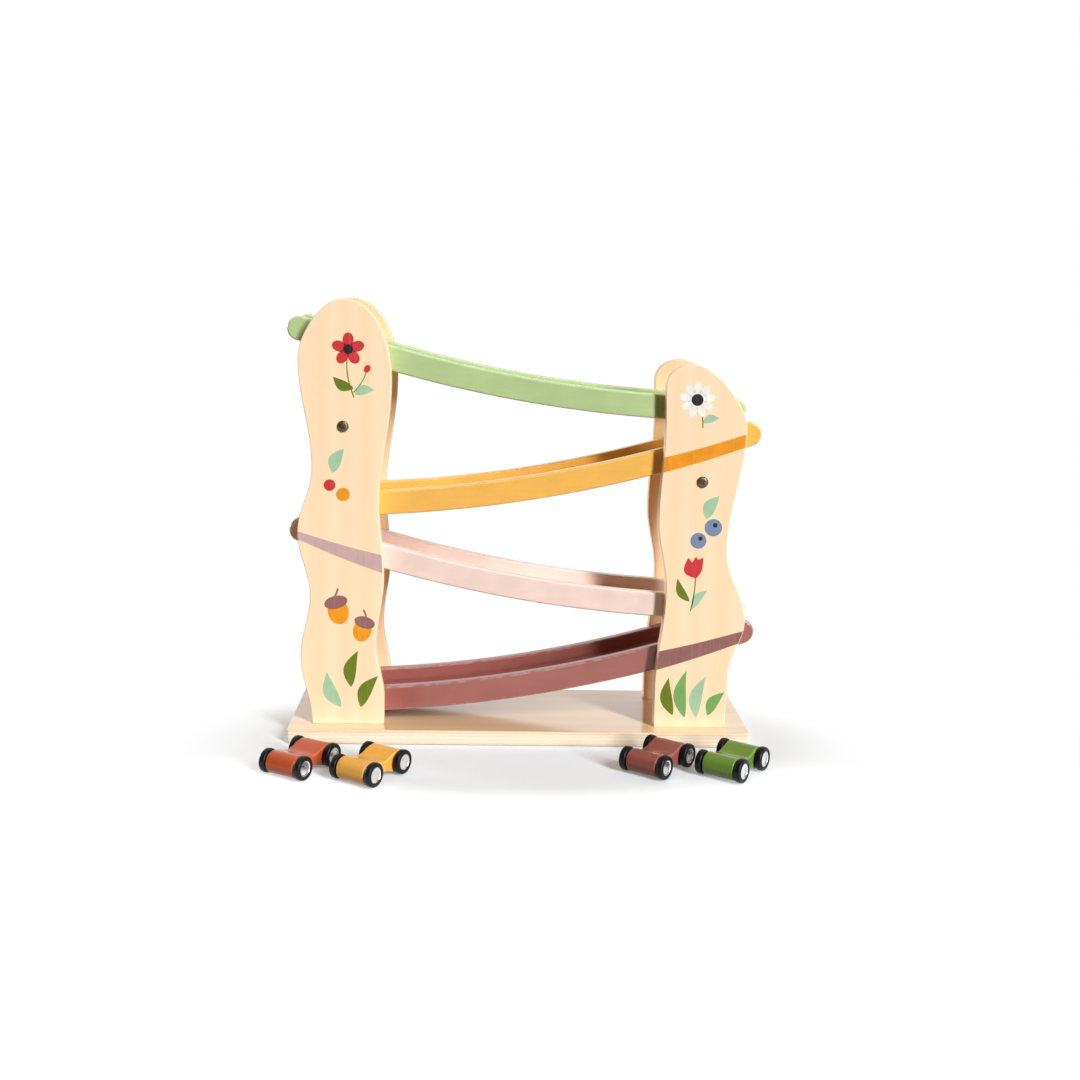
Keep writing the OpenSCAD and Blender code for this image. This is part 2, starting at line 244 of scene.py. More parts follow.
class Surface(Nodes):
    """A node material with its shader."""

    def __init__(self, name, specular=0.5, metallic=0.0):
        self.material = bpy.data.materials.new(name)
        super().__init__(self.material)
        self.bsdf = self.node("ShaderNodeBsdfPrincipled")
        self.bsdf.inputs["Specular IOR Level"].default_value = specular
        self.bsdf.inputs["Metallic"].default_value = metallic
        out = self.node("ShaderNodeOutputMaterial")
        self.join(self.bsdf.outputs[0], out.inputs["Surface"])

    def place(self, scale=EVEN, offset=(0, 0, 0)):
        """Coordinates of the piece, scaled for each axis."""
        mapping = self.filled("ShaderNodeMapping", Scale=scale, Location=offset)
        self.join(self.spot(), mapping.inputs["Vector"])
        return mapping.outputs[0]

    def noise(self, vector, scale, detail=3.0, distortion=0.0):
        made = self.filled("ShaderNodeTexNoise", Scale=scale, Detail=detail, Distortion=distortion)
        self.join(vector, made.inputs["Vector"])
        return made.outputs[0]

    def ramp(self, factor, *stops):
        made = self.node("ShaderNodeValToRGB")
        band = made.color_ramp
        while len(band.elements) < len(stops):
            band.elements.new(0.5)
        for element, (at, tone) in zip(band.elements, stops):
            element.position = at
            element.color = tone
        self.join(factor, made.inputs[0])
        return made.outputs[0]

    def grey(self, factor, low, high, start=0.0, end=1.0):
        return self.span(factor, start, end, low, high)

    def edge(self):
        """How near a point is to the middle of a rounded edge, written on the mesh."""
        made = self.node("ShaderNodeAttribute", attribute_name="edge")
        return made.outputs["Fac"]

    def bump(self, height, strength, distance):
        made = self.filled("ShaderNodeBump", Strength=strength, Distance=distance)
        self.join(height, made.inputs["Height"])
        self.join(made.outputs[0], self.bsdf.inputs["Normal"])

    def lacquer(self, roughness, ior):
        self.bsdf.inputs["Coat Weight"].default_value = 1.0
        self.bsdf.inputs["Coat Roughness"].default_value = roughness
        self.bsdf.inputs["Coat IOR"].default_value = ior

    def finish(self, base, roughness):
        self.join(base, self.bsdf.inputs["Base Color"])
        self.join(roughness, self.bsdf.inputs["Roughness"])
        return self.material


def stretched(axis, share):
    """Scale that draws a texture out along one axis."""
    return tuple(share if i == axis else 1.0 for i in range(3))


def wood_tone(s, axis, pale, deep):
    """Colour of planed wood with its grain along an axis, and the height of its fibres."""
    broad = s.noise(s.place(stretched(axis, 0.05)), BROAD_GRAIN, 3.0, 0.5)
    rings = s.filled("ShaderNodeTexWave", Scale=RING_GRAIN, Distortion=5.0, Detail=3.0, Detail_Scale=1.2)
    rings.bands_direction = "Y" if axis == ALONG_X else "X"
    s.join(s.place(stretched(axis, 0.045)), rings.inputs["Vector"])
    fibres = s.noise(s.place(stretched(axis, 0.018)), FIBRE_GRAIN, 2.0, 0.2)
    tone = s.maths("MULTIPLY", broad, BROAD_SHARE)
    tone = s.maths("ADD", tone, s.maths("MULTIPLY", rings.outputs["Fac"], RING_SHARE))
    tone = s.maths("ADD", tone, s.maths("MULTIPLY", fibres, FIBRE_SHARE))
    middle = tuple((a + b) / 2 for a, b in zip(pale, deep))
    return s.ramp(tone, (0.3, colour(*deep)), (0.52, colour(*middle)), (0.74, colour(*pale))), fibres


def panel_wood(name, pale, deep):
    s = Surface(name, WOOD_SHEEN)
    base, fibres = wood_tone(s, ALONG_Z, pale, deep)
    # Paler rounded edges: a painted highlight
    base = s.mix(s.maths("MULTIPLY", s.edge(), 0.5), base, colour(255, 240, 218))
    s.bump(fibres, 0.12, FIBRE_DEPTH)
    return s.finish(base, s.grey(fibres, 0.36, 0.52))


def bar_wood():
    s = Surface("bar_wood_grain", WOOD_SHEEN)
    base, fibres = wood_tone(s, ALONG_Y, (250, 219, 178), (236, 194, 146))
    s.bump(fibres, 0.15, FIBRE_DEPTH)
    return s.finish(base, s.grey(fibres, 0.42, 0.58))


def base_ply():
    """Lacquered plywood: grain on the top, plies and glue lines on the sides."""
    s = Surface("base_plywood")
    s.lacquer(BASE_COAT_ROUGH, LACQUER_IOR)
    top, fibres = wood_tone(s, ALONG_X, (248, 219, 178), (240, 205, 160))
    level = s.maths("DIVIDE", s.axes(s.spot())["Z"], BASE_T * MM)
    face = colour(255, 246, 226)
    skin = colour(250, 228, 196)
    glue = colour(236, 206, 166)
    cross = colour(255, 240, 215)
    plies = s.ramp(
        level,
        (0.0, skin), (0.135, skin), (0.16, glue), (0.19, cross), (0.36, cross), (0.385, glue),
        (0.41, face), (0.60, face), (0.625, glue), (0.65, cross), (0.80, cross), (0.83, glue),
        (0.855, skin), (1.0, skin),
    )
    ends = s.noise(s.place((0.35, 0.35, 1.0), (0.3, 0.2, 0.1)), 1500.0, 2.0)
    plies = s.mix(s.grey(ends, 0.0, 0.16, 0.35, 0.75), plies, colour(226, 186, 138))
    normal = s.node("ShaderNodeNewGeometry").outputs["Normal"]
    up = s.maths("ABSOLUTE", s.axes(normal)["Z"], 0.0)
    base = s.mix(s.grey(up, 0.0, 1.0, 0.45, 0.75), plies, top)
    # Paler rounded edges: a painted highlight
    base = s.mix(s.maths("MULTIPLY", s.edge(), 0.25), base, colour(255, 240, 222))
    s.bump(fibres, 0.1, FIBRE_DEPTH)
    return s.finish(base, s.grey(fibres, 0.34, 0.5))


def paint(name, rgb, edge_highlight, gloss, ior):
    """Satin paint on wood: faint grain under it, and a painted highlight along the rounded edges."""
    s = Surface(name, PAINT_SHEEN)
    s.lacquer(PAINT_COAT_ROUGH, ior)
    cloud = s.noise(s.place(), 38.0, 4.0)
    grain = s.noise(s.place((0.03, 1.0, 1.0), (0.1, 0.2, 0.3)), 620.0, 3.0, 0.3)
    base = s.ramp(cloud, (0.28, colour(*shade(rgb, 0.965))), (0.72, colour(*shade(rgb, 1.03))))
    base = s.mix(s.grey(grain, 0.0, 0.22, 0.42, 0.7), base, colour(*shade(rgb, 0.93)))
    # Paler colour along the rounded edges, broken up by noise: a painted highlight, not wear
    highlight_break = s.noise(s.place(EVEN, (0.4, 0.1, 0.2)), 160.0, 3.0)
    highlit = s.maths("MULTIPLY", s.edge(), s.grey(highlight_break, 0.1, 0.6, 0.35, 0.68))
    base = s.mix(highlit, base, colour(*edge_highlight))
    s.bump(grain, 0.1, 0.00018)
    return s.finish(base, s.grey(grain, gloss - 0.06, gloss + 0.1))


def track_paint(name, rgb, edge_highlight):
    return paint(name, rgb, edge_highlight, TRACK_GLOSS, TRACK_IOR)


def car_paint(name, rgb, edge_highlight):
    return paint(name, rgb, edge_highlight, CAR_GLOSS, CAR_IOR)


def rubber():
    s = Surface("tyre_rubber_black", RUBBER_SHEEN)
    cloud = s.noise(s.place(), 120.0, 3.0)
    fine = s.noise(s.place(EVEN, (0.2, 0.5, 0.1)), 2600.0, 2.0)
    base = s.ramp(cloud, (0.3, colour(6, 6, 7)), (0.75, colour(13, 13, 14)))
    # Paler marked rings on the tyre's wall and shoulder: a painted highlight
    base = s.mix(s.maths("MULTIPLY", s.edge(), 0.35), base, colour(24, 23, 24))
    s.bump(fine, 0.25, 0.0001)
    return s.finish(base, s.grey(cloud, 0.3, 0.5))


def metal(name, dark, light, low, high, scale, share=1.0):
    """Turned metal with fine wear. low and high bound its roughness, share is how metallic it is."""
    s = Surface(name, metallic=share)
    cloud = s.noise(s.place(), scale, 4.0)
    fine = s.noise(s.place(EVEN, (0.3, 0.3, 0.3)), 3200.0, 2.0)
    base = s.ramp(cloud, (0.3, colour(*dark)), (0.7, colour(*light)))
    s.bump(fine, 0.08, 0.00005)
    return s.finish(base, s.grey(cloud, low, high, 0.25, 0.75))


def ink(name, rgb):
    """Print on wood: the fibres show through it a little."""
    s = Surface(name, WOOD_SHEEN)
    fibres = s.noise(s.place(stretched(ALONG_Z, 0.02)), FIBRE_GRAIN, 2.0, 0.2)
    cloud = s.noise(s.place(), 90.0, 3.0)
    base = s.ramp(cloud, (0.3, colour(*shade(rgb, 0.96))), (0.7, colour(*shade(rgb, 1.04))))
    lit = tuple(v + (255 - v) * 0.16 for v in rgb)
    base = s.mix(s.grey(fibres, 0.0, 0.7, 0.5, 0.8), base, colour(*lit))
    s.bump(fibres, 0.08, 0.0001)
    return s.finish(base, s.grey(fibres, 0.42, 0.56))


# Each paint's second colour is the painted highlight along its rounded edges
PAINTS = {
    "burgundy_track": track_paint("burgundy_track_paint", (157, 94, 88), (214, 180, 176)),
    "pink_track": track_paint("pink_track_paint", (241, 216, 207), (252, 238, 232)),
    "yellow_track": track_paint("yellow_track_paint", (246, 189, 92), (253, 214, 142)),
    "green_track": track_paint("green_track_paint", (184, 207, 149), (214, 229, 188)),
    "terracotta_car": car_paint("terracotta_car_coat", (194, 86, 46), (214, 124, 88)),
    "yellow_car": car_paint("yellow_car_coat", (234, 175, 76), (247, 204, 128)),
    "burgundy_car": car_paint("burgundy_car_coat", (152, 86, 79), (182, 124, 116)),
    "green_car": car_paint("green_car_coat", (108, 146, 56), (146, 178, 100)),
}
SLOTS = {track: track.replace("track", "paint") for track in TRACKS}
SLOTS.update({car: car + "_paint" for car in CARS})
# The back panels' wood is a darker copy of the front panels' wood: painted shade
PANEL_WOODS = {
    "front": panel_wood("panel_wood_grain", (255, 230, 196), (252, 221, 183)),
    "back": panel_wood("back_panel_wood_shaded", (249, 219, 180), (244, 208, 165)),
}
BAR_WOOD = bar_wood()
BASE_PLY = base_ply()
RUBBER = rubber()
SILVER = metal("hub_polished", (226, 227, 230), (244, 244, 246), 0.16, 0.3, 260.0)
STEEL = metal("axle_bright_steel", (150, 152, 156), (190, 191, 194), 0.25, 0.4, 200.0)
BRONZE = metal("screw_dark_bronze", (84, 69, 52), (124, 106, 84), 0.34, 0.5, 420.0, 0.7)
INK_TONES = {
    "lilac": (203, 170, 168),
    "orange": (239, 152, 26),
    "mauve": (146, 100, 97),
    "moss": (104, 122, 30),
    "leaf": (120, 168, 98),
    "sage": (164, 202, 166),
    "red": (206, 52, 58),
    "black": (34, 30, 34),
    "white": (246, 244, 240),
    "blue": (120, 140, 170),
}
INKS = {tone: ink("print_" + tone, rgb) for tone, rgb in INK_TONES.items()}


# Mesh builders

NEARLY_STRAIGHT = 0.05
FACE_WEIGHT = 60


def signed_area(points):
    total = 0.0
    for (a, b), (c, d) in zip(points, points[1:] + points[:1]):
        total += a * d - b * c
    return total / 2


def inset_shift(points, radii):
    """For each corner, how far it moves inwards when each edge moves in by its own radius."""
    inward = []
    for (a, b), (c, d) in zip(points, points[1:] + points[:1]):
        length = math.hypot(c - a, d - b)
        inward.append((-(d - b) / length, (c - a) / length))
    shifts = []
    for i in range(len(points)):
        p, q = inward[i - 1], inward[i]
        rp, rq = radii[i - 1], radii[i]
        cross = p[0] * q[1] - p[1] * q[0]
        if abs(cross) < NEARLY_STRAIGHT:
            dot = 1 + p[0] * q[0] + p[1] * q[1]
            mean = (rp + rq) / 2
            shifts.append((mean * (p[0] + q[0]) / dot, mean * (p[1] + q[1]) / dot))
        else:
            shifts.append(((rp * q[1] - rq * p[1]) / cross, (rq * p[0] - rp * q[0]) / cross))
    return shifts


def edge_layer(bm):
    """The layer of a mesh that says how near a point is to the middle of a rounded edge."""
    return bm.verts.layers.float.get("edge") or bm.verts.layers.float.new("edge")


def add_plate(bm, points, near, far, radii, put, steps=4):
    """Closed plate with rounded edges. put(a, b, depth) gives a point of the part in millimetres."""
    edge = edge_layer(bm)
    points = list(points)
    if isinstance(radii, (int, float)):
        radii = [radii] * len(points)
    if signed_area(points) < 0:
        points.reverse()
        radii = list(radii[:-1])[::-1] + [radii[-1]]
    n = len(points)
    shifts = inset_shift(points, radii)
    deep = [max(radii[i - 1], radii[i]) for i in range(n)]
    turns = [math.pi / 2 * k / steps for k in range(steps + 1)] if max(radii) > 0 else [math.pi / 2]
    stages = [(t, near, 1) for t in turns] + [(t, far, -1) for t in reversed(turns)]
    rings = []
    for t, level, way in stages:
        ring = []
        for (a, b), (sa, sb), r in zip(points, shifts, deep):
            share = 1 - math.sin(t)
            depth = level + way * r * (1 - math.cos(t))
            v = bm.verts.new(Vector(put(a + sa * share, b + sb * share, depth)) * MM)
            v[edge] = math.sin(2 * t) if len(turns) > 1 else 0.0
            ring.append(v)
        rings.append(ring)
    faces = [bm.faces.new(rings[0]), bm.faces.new(rings[-1])]
    for low, high in zip(rings, rings[1:]):
        for i in range(n):
            j = (i + 1) % n
            faces.append(bm.faces.new((low[i], low[j], high[j], high[i])))
    bmesh.ops.recalc_face_normals(bm, faces=faces)


def add_turned(bm, profile, put, segments=64, highlit=()):
    """Closed solid turned from a profile of (radius, along). put(x, along, z) places a point."""
    edge = edge_layer(bm)
    rings = []
    for k, (r, along) in enumerate(profile):
        ring = []
        for i in range(segments if r > 0 else 1):
            t = 2 * math.pi * i / segments
            v = bm.verts.new(Vector(put(r * math.cos(t), along, r * math.sin(t))) * MM)
            # Rings listed in the last argument are marked for a painted highlight
            v[edge] = 1.0 if k in highlit else 0.0
            ring.append(v)
        rings.append(ring)
    faces = []
    pairs = list(zip(rings, rings[1:]))
    if profile[0][0] > 0 and profile[-1][0] > 0:
        pairs.append((rings[-1], rings[0]))
    for low, high in pairs:
        for i in range(segments):
            j = (i + 1) % segments
            corners = [low[i % len(low)], low[j % len(low)], high[j % len(high)], high[i % len(high)]]
            kept = list(dict.fromkeys(corners))
            if len(kept) > 2:
                faces.append(bm.faces.new(kept))
    bmesh.ops.recalc_face_normals(bm, faces=faces)


def link_scene(name, data):
    made = bpy.data.objects.new(name, data)
    bpy.context.scene.collection.objects.link(made)
    return made


def mesh_from(name, bm):
    mesh = bpy.data.meshes.new(name)
    bm.to_mesh(mesh)
    bm.free()
    return mesh


def weigh_normals(made):
    """Lets the large faces set the shading, so that flat stretches look flat beside rounded edges."""
    normals = made.modifiers.new("face_normals", "WEIGHTED_NORMAL")
    normals.weight = FACE_WEIGHT
    normals.keep_sharp = True


def piece(name, bm, material, body, smooth=True):
    """Turns the mesh into a piece that rides on a body."""
    mesh = mesh_from(name, bm)
    for polygon in mesh.polygons:
        polygon.use_smooth = smooth
    mesh.materials.append(material)
    made = link_scene(name, mesh)
    if smooth:
        weigh_normals(made)
    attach(made, body)
    return made


def stand_for(made, slot, *replaced):
    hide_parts(*replaced)


def cut(target, cutter_bm):
    """Takes the cutter's solids out of a piece for good."""
    cutter = link_scene("cutter", mesh_from("cutter", cutter_bm))
    target.modifiers.clear()
    hole = target.modifiers.new("hole", "BOOLEAN")
    hole.operation = "DIFFERENCE"
    hole.solver = "EXACT"
    hole.object = cutter
    graph = bpy.context.evaluated_depsgraph_get()
    cut_mesh = bpy.data.meshes.new_from_object(target.evaluated_get(graph))
    target.modifiers.clear()
    target.data = cut_mesh
    bpy.data.objects.remove(cutter)
    weigh_normals(target)


def sharpen(mesh, degrees):
    """Marks the edges that turn by more than an angle as sharp."""
    bm = bmesh.new()
    bm.from_mesh(mesh)
    limit = math.radians(degrees)
    for e in bm.edges:
        if len(e.link_faces) == 2 and e.calc_face_angle(0.0) > limit:
            e.smooth = False
    bm.to_mesh(mesh)
    bm.free()


def coat_node(name, material):
    """Gives a solid that shows as it is another material."""
    materials = nodes[name].data.materials
    materials.clear()
    materials.append(material)


def in_xz(a, b, depth):
    return (a, depth, b)


def in_xy(a, b, depth):
    return (a, b, depth)


def turned_about(x, y, z, way):
    """Puts a turned solid's axis along Y, from a point, pointing to +Y or -Y."""
    return lambda a, along, c: (x + a * way, y + way * along, z + c)


def across(put):
    """Lets a plate's depth run along the middle coordinate of put."""
    return lambda a, b, depth: put(a, depth, b)


# Base board


def rounded_rectangle(w, d, r, steps=5):
    corners = (
        (w / 2 - r, d / 2 - r, 0),
        (r - w / 2, d / 2 - r, 90),
        (r - w / 2, r - d / 2, 180),
        (w / 2 - r, r - d / 2, 270),
    )
    points = []
    for cx, cy, start in corners:
        for k in range(steps + 1):
            t = math.radians(start + 90 * k / steps)
            points.append((cx + r * math.cos(t), cy + r * math.sin(t)))
    return points


def add_base():
    bm = bmesh.new()
    add_plate(bm, rounded_rectangle(BASE_W, BASE_D, BASE_CORNER), 0, BASE_T, BASE_ROUND, in_xy)
    stand_for(piece("base_board_plywood", bm, BASE_PLY, "frame"), "base_ply", "base_board")


# Towers


def ease(t):
    return (1 - math.cos(math.pi * t)) / 2


def wave_at(stations, share):
    """Reach of a wavy edge beyond the foot at a share of the tower's height."""
    for (s0, r0), (s1, r1) in zip(stations, stations[1:]):
        if share <= s1:
            return WAVE_SWING * (r0 + (r1 - r0) * ease(max(0.0, (share - s0) / (s1 - s0))))
    return WAVE_SWING * stations[-1][1]


def wavy_side(stations, sign, height, steps=14):
    points = []
    for (s0, _), (s1, _) in zip(stations, stations[1:]):
        for j in range(steps):
            share = s0 + (s1 - s0) * j / steps
            points.append((sign * (FOOT_W / 2 + wave_at(stations, share)), height * share))
    return points


def shoulder_line(start, apex, full, steps=22):
    """Shoulder from the top of a wavy edge, where it is upright, to the level top of the crown."""
    above = (start[0], start[1] + full * (apex[1] - start[1]))
    beside = (apex[0] + full * (start[0] - apex[0]), apex[1])
    corners = (start, above, beside, apex)
    points = []
    for j in range(steps):
        t = j / steps
        u = 1 - t
        shares = (u ** 3, 3 * u * u * t, 3 * u * t * t, t ** 3)
        points.append(tuple(sum(w * p[i] for w, p in zip(shares, corners)) for i in (0, 1)))
    return points


def panel_outline(k, height):
    """Outline of a panel, up the outer side and down the inner one, with the foot as its last edge."""
    apex = (CROWN_LINE[k], height)
    outer_end = (FOOT_W / 2 + wave_at(OUTER_WAVE[k], 1), height * OUTER_WAVE[k][-1][0])
    inner_end = (-FOOT_W / 2 - wave_at(INNER_WAVE[k], 1), height * INNER_WAVE[k][-1][0])
    outer_full, inner_full = CROWN_FULL[k]
    outer = wavy_side(OUTER_WAVE[k], 1, height) + shoulder_line(outer_end, apex, outer_full)
    inner = wavy_side(INNER_WAVE[k], -1, height) + shoulder_line(inner_end, apex, inner_full)
    return outer + [apex] + inner[::-1]


def add_tower(k):
    outline = [(WAYS[k] * (TOWER_X + a), BASE_T + b) for a, b in panel_outline(k, HEIGHTS[k])]
    radii = [PANEL_ROUND] * (len(outline) - 1) + [FOOT_ROUND]
    for face, near in (("front", -TRACK_W / 2 - PANEL_T), ("back", TRACK_W / 2)):
        name = SIDES[k] + "_" + face + "_panel"
        bm = bmesh.new()
        add_plate(bm, outline, near, near + PANEL_T, radii, in_xz, steps=5)
        stand_for(piece(name + "_wood", bm, PANEL_WOODS[face], "frame"), "panel_wood", name)


# Tracks

TRACK_STEPS = 60
STOP_STEPS = 4


def rise(x):
    return TRACK_R - math.sqrt(TRACK_R ** 2 - (LOW_X + x) ** 2)


TRACK_PITCH = RAIL_H + rise(max(TAIL[1:])) + TRACK_GAP


def rail_top(n):
    return BASE_T + TRACK_CLEAR + RAIL_H + n * TRACK_PITCH


def on_track(n, a, r):
    return (LOW_SIDE[n] * (LOW_X - r * math.sin(a)), rail_top(n) + TRACK_R - r * math.cos(a))


def high_angle(n):
    return math.asin((LOW_X + REACH[n]) / MID_R)


def low_angle(n):
    return math.asin((LOW_X - TAIL[n]) / MID_R)


def arc(n, r, a0, a1, steps):
    return [on_track(n, a0 + (a1 - a0) * i / steps, r) for i in range(steps + 1)]


def rail_cap(n, a, way, steps=20):
    """Half round at an end of a rail."""
    m = on_track(n, a, MID_R)
    up = (LOW_SIDE[n] * math.sin(a), math.cos(a))
    out = (-LOW_SIDE[n] * math.cos(a), math.sin(a))
    r = RAIL_H / 2 * way
    points = []
    for i in range(1, steps):
        t = math.pi * i / steps
        points.append(tuple(m[j] + r * (math.cos(t) * up[j] + math.sin(t) * out[j]) for j in (0, 1)))
    return points


def rail_outline(n):
    a0, a1 = low_angle(n), high_angle(n)
    top = arc(n, TRACK_R, a0, a1, TRACK_STEPS)
    bottom = arc(n, TRACK_R + RAIL_H, a1, a0, TRACK_STEPS)
    return top + rail_cap(n, a1, 1) + bottom + rail_cap(n, a0, -1)


def band(n, r0, r1, a0, a1, steps):
    return arc(n, r0, a0, a1, steps) + arc(n, r1, a1, a0, steps)


def add_painted(track, part, bm):
    """A painted piece of a track in the place of its solid."""
    name = track + "_" + part
    stand_for(piece(name + "_painted", bm, PAINTS[track], "frame"), SLOTS[track], name)


def add_track(n):
    """Rails, floor strip and stops of a track. Only the lowest has no drop gap and no low stop."""
    track = TRACKS[n]
    for face, near in (("front", -TRACK_W / 2), ("back", TRACK_W / 2 - RAIL_T)):
        bm = bmesh.new()
        add_plate(bm, rail_outline(n), near, near + RAIL_T, RAIL_ROUND, in_xz)
        add_painted(track, face + "_rail", bm)
    start = low_angle(n) + (0 if n == 0 else (STOP_L + DROP_GAP) / MID_R)
    end = high_angle(n) - STOP_L / MID_R
    floor_r = TRACK_R + FLOOR_DROP
    bm = bmesh.new()
    strip = band(n, floor_r, floor_r + FLOOR_T, start, end, TRACK_STEPS)
    add_plate(bm, strip, -FLOOR_W / 2, FLOOR_W / 2, FLOOR_ROUND, in_xz, steps=3)
    add_painted(track, "floor", bm)
    stops = [("high", end)] + ([("low", low_angle(n))] if n else [])
    for stop, a in stops:
        bm = bmesh.new()
        top, bottom = TRACK_R + STOP_INSET, TRACK_R + RAIL_H - STOP_INSET
        block = band(n, top, bottom, a, a + STOP_L / MID_R, STOP_STEPS)
        add_plate(bm, block, -CHANNEL_W / 2, CHANNEL_W / 2, STOP_ROUND, in_xz, steps=3)
        add_painted(track, stop + "_stop", bm)


# Spacer bars, screws and dowels

BAR_SHARP = 30
SCREW_SHARP = 32
SCREW_SIDES = 56
SCREW_PROFILE = [
    (0, -1.8), (1.2, -1.78), (2.4, -1.68), (3.4, -1.46), (4.2, -1.06), (4.65, -0.55), (4.75, -0.2),
    (4.7, 0.0), (2.0, 0.0), (2.0, 23.0), (1.2, 25.0), (0, 25.0),
]
SLOT_REACH = 2.6
SLOT_HALF = 0.32
SLOT_CORE = 0.62
SLOT_MOUTH = -3.0
SLOT_FLOOR = -0.75


def add_spacer(k):
    half = TRACK_W / 2
    end_r = SPACER_R - SPACER_CHAMFER
    side = half - SPACER_CHAMFER
    profile = [(0, -half), (end_r, -half), (SPACER_R, -side), (SPACER_R, side), (end_r, half), (0, half)]
    bm = bmesh.new()
    add_turned(bm, profile, turned_about(WAYS[k] * DOWEL_X, 0, SPACER_Z[k], 1))
    bar = piece(SIDES[k] + "_spacer_bar", bm, BAR_WOOD, "frame")
    sharpen(bar.data, BAR_SHARP)
    stand_for(bar, "panel_wood", SIDES[k] + "_spacer")


def cross_outline():
    """Outline of the cross slot in a screw's head."""
    points = []
    for quarter in range(4):
        t = math.radians(45 + 90 * quarter)
        for a, b in ((SLOT_REACH, -SLOT_HALF), (SLOT_REACH, SLOT_HALF), (SLOT_CORE, SLOT_CORE)):
            points.append((a * math.cos(t) - b * math.sin(t), a * math.sin(t) + b * math.cos(t)))
    return points


def add_screws():
    """Four screws, on both faces of both towers."""
    heads = bmesh.new()
    slots = bmesh.new()
    for k in (0, 1):
        for way in WAYS:
            put = turned_about(WAYS[k] * DOWEL_X, -way * (TRACK_W / 2 + PANEL_T), SPACER_Z[k], way)
            add_turned(heads, SCREW_PROFILE, put, SCREW_SIDES)
            add_plate(slots, cross_outline(), SLOT_MOUTH, SLOT_FLOOR, 0.0, across(put))
    screws = piece("panel_screws_bronze", heads, BRONZE, "frame")
    cut(screws, slots)
    sharpen(screws.data, SCREW_SHARP)
    stand_for(screws, "screw_bronze", "panel_screws")


# Cars

BODY_SHARP = 40
HOLE_SIDES = 32
TYRE_SIDES = 72
HUB_SIDES = 56
# Rings of the tyre profile that get a painted highlight
TYRE_HIGHLIT = (1, 2, 8, 9)


def car_put(name):
    """Gives a function from the car's own frame, heading along +X, to the part's."""
    x, ahead, turn = CARS[name]
    heading = Matrix.Rotation(math.radians(180 + turn), 4, "Z")
    place = Matrix.Translation((x, -BASE_D / 2 - ahead, 0)) @ heading
    return lambda a, b, c: place @ Vector((a, b, c))


def axle_put(put, x):
    """Puts a turned solid on the line of the axle at x."""
    return lambda a, along, c: put(x + a, along, WHEEL_R + c)


def wheel_put(put, x, way):
    """Puts a turned solid at a wheel, with its outer face away from the body."""
    return lambda a, along, c: put(x + a, way * (WHEEL_TRACK / 2 + along), WHEEL_R + c)


def body_outline(steps=30):
    """Side of the body: two round ends and a waist."""
    points = []
    for way in (1, -1):
        for j in range(steps + 1):
            x = way * WHEEL_BASE * (j / steps - 0.5)
            swell = (BODY_END_D - BODY_WAIST) / 4 * (1 - math.cos(2 * math.pi * x / WHEEL_BASE))
            points.append((x, WHEEL_R + way * (BODY_WAIST / 2 + swell)))
        for j in range(1, steps):
            t = math.pi / 2 - math.pi * j / steps
            x = way * (WHEEL_BASE / 2 + BODY_END_D / 2 * math.cos(t))
            points.append((x, WHEEL_R + way * BODY_END_D / 2 * math.sin(t)))
    return points


def tyre_profile(steps=6):
    """Bead, flat wall, round shoulder and slightly crowned tread."""
    half = TYRE_W / 2
    side = [(6.25, half - 0.05), (6.45, half), (6.95, half), (7.15, half - 0.14), (7.5, half - 0.16)]
    inset = TREAD_CROWN + TYRE_SHOULDER
    for j in range(steps + 1):
        t = math.pi / 2 * (1 - j / steps)
        r = WHEEL_R - inset + TYRE_SHOULDER * math.cos(t)
        side.append((r, half - inset + TYRE_SHOULDER * math.sin(t)))
    side.append((WHEEL_R, TREAD_FLAT))
    return side + [(r, -along) for r, along in reversed(side)]


def hub_profile():
    """Shallow dish inside a raised rim."""
    half = HUB_T / 2
    return [
        (0, half - 0.3), (2.0, half - 0.36), (3.6, half - 0.52), (4.8, half - 0.62), (5.3, half - 0.5),
        (5.5, half - 0.1), (5.7, half), (5.95, half), (HUB_R, half - 0.25), (HUB_R, -half + 0.25),
        (5.95, -half), (0, -half),
    ]


def add_wheels(car, end, x, put):
    """The two tyres and hubs of an axle, and the axle's metal."""
    tyres = bmesh.new()
    hubs = bmesh.new()
    for way in WAYS:
        at_wheel = wheel_put(put, x, way)
        add_turned(tyres, tyre_profile(), at_wheel, TYRE_SIDES, TYRE_HIGHLIT)
        add_turned(hubs, hub_profile(), at_wheel, HUB_SIDES)
    name = car + "_" + end
    body = name + "_wheels"
    stand_for(piece(name + "_tyres_rubber", tyres, RUBBER, body), "tyre_rubber", name + "_tyres")
    stand_for(piece(name + "_hubs_polished", hubs, SILVER, body), "hub_metal", name + "_hubs")
    coat_node(name + "_axle", STEEL)


def add_car(car):
    put = car_put(car)
    axle_x = WHEEL_BASE / 2
    bm = bmesh.new()
    add_plate(bm, body_outline(), -BODY_W / 2, BODY_W / 2, CAR_ROUND, across(put), steps=5)
    made = piece(car + "_body_painted", bm, PAINTS[car], car)
    bore = [(0, -BODY_W), (AXLE_HOLE_R, -BODY_W), (AXLE_HOLE_R, BODY_W), (0, BODY_W)]
    holes = bmesh.new()
    for x in (-axle_x, axle_x):
        add_turned(holes, bore, axle_put(put, x), HOLE_SIDES)
    cut(made, holes)
    sharpen(made.data, BODY_SHARP)
    stand_for(made, SLOTS[car], car + "_body")
    add_wheels(car, "front", axle_x, put)
    add_wheels(car, "rear", -axle_x, put)


# Prints on the front panels

PRINT_Y = -TRACK_W / 2 - PANEL_T
PRINT_T = 0.1
PRINT_SINK = 0.05
LAYER_T = 0.04
EDGE_ROOM = PANEL_ROUND * 0.75
EDGE_PASSES = 12
LEAF_SWELL = 0.85


